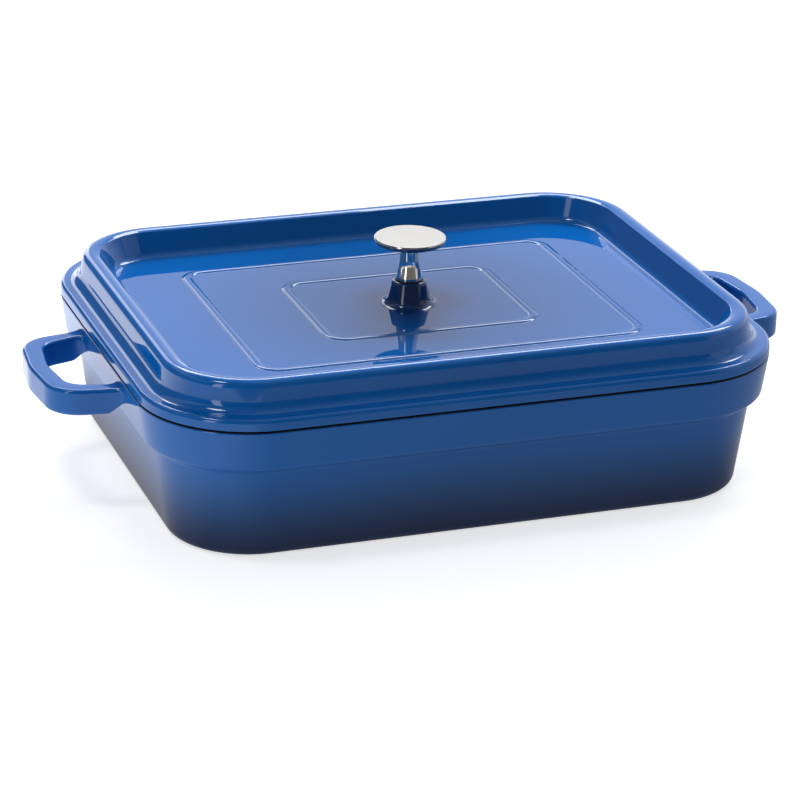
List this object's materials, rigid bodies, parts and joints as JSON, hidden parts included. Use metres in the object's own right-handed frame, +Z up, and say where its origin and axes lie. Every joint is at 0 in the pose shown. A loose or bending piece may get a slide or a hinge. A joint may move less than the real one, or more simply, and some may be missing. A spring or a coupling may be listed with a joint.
{
  "type": "covered casserole dish",
  "caption": "Oblong cast dish with loop handles at its ends and a lift-off lid with a raised rim, ribbed sunk panel and steel knob.",
  "frame": {"origin": "middle of the dish's base, on the table", "axes": "+Z up, +X towards the right-hand handle, -Y the long side that faces the user"},
  "size_m": [0.431, 0.2798, 0.1232],
  "materials": {
    "blue_enamel": "gloss enamel over cast aluminium, darker towards the base",
    "nonstick_coating": "satin black nonstick coating on cast aluminium",
    "gasket_rubber": "matte heat-resistant rubber",
    "polished_steel": "polished stainless steel",
    "satin_steel": "satin stainless steel, fine circular brushing",
    "fastener_steel": "plain stainless steel"
  },
  "bodies": {
    "dish": {"dish_body": "blue_enamel", "left_handle": "blue_enamel", "right_handle": "blue_enamel"},
    "lid": {"lid_body": "blue_enamel", "knob_gasket": "gasket_rubber", "knob_stem": "polished_steel", "knob_cap": "satin_steel", "flat_washer": "fastener_steel", "spring_washer": "fastener_steel", "knob_screw": "fastener_steel"}
  },
  "joints": [
    {"name": "lid_lift", "type": "slide", "parent": "dish", "child": "lid", "axis": [0, 0, 1], "range_m": [0, 0.15]}
  ]
}
